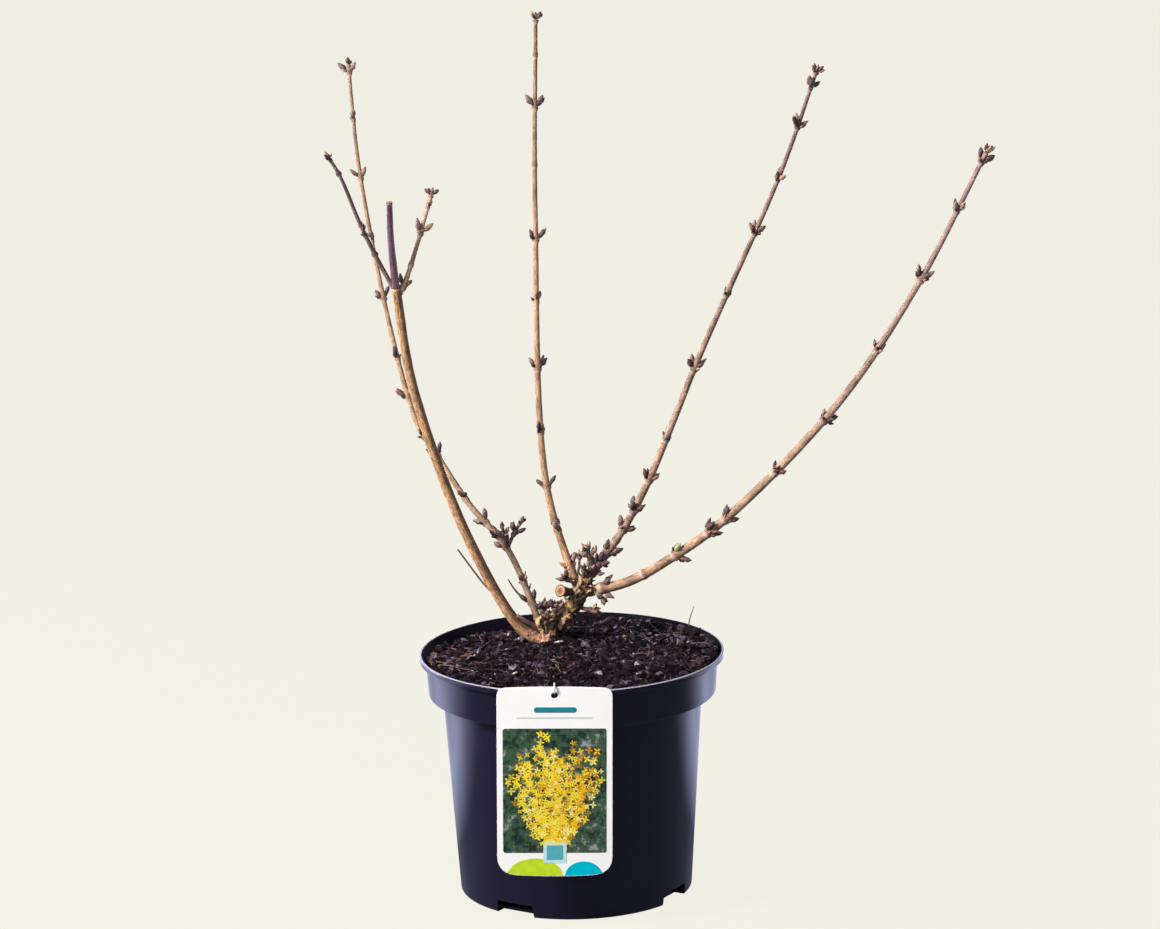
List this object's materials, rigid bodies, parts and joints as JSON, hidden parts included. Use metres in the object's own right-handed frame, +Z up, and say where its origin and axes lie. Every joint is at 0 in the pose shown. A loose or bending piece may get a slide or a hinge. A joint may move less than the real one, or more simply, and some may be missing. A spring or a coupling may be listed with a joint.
{
  "type": "forsythia shrub",
  "caption": "Young forsythia shrub in winter: leafless arching canes with bud clusters, standing in a round black nursery pot of dark compost with a white plant label hooked on its rim.",
  "frame": {"origin": "middle of the pot's flat underside, on the surface that it stands on", "axes": "+Z up, -Y towards the side of the pot that carries the label, +X to the right of it"},
  "size_m": [0.4122, 0.2114, 0.5412],
  "materials": {
    "pot_plastic": "gloss",
    "compost": "matte",
    "label_card": "satin",
    "hook_plastic": "satin",
    "bark_tan": "satin",
    "bark_dark": "satin",
    "budded_twigs": "satin",
    "dry_wood": "matte"
  },
  "bodies": {
    "root": {"pot": "pot_plastic", "soil": "compost", "plant_label": "label_card", "label_hook": "hook_plastic", "crown_foot": "bark_tan", "crown_limb": "bark_tan", "bough_left": "bark_tan", "stub_left": "bark_dark", "bough_left_rear": "bark_tan", "bough_centre": "bark_tan", "bough_right_middle": "bark_tan", "bough_right_low": "bark_tan", "twigs_left_outer": "budded_twigs", "twigs_left_inner": "budded_twigs", "twigs_left_rear": "budded_twigs", "twigs_centre": "budded_twigs", "twigs_right_middle": "budded_twigs", "twigs_right_low": "budded_twigs", "spur_left_rear": "budded_twigs", "spur_crown": "budded_twigs", "spur_low": "budded_twigs", "spur_foot": "budded_twigs", "dry_twig": "dry_wood", "thorn_twig": "dry_wood"}
  },
  "joints": []
}
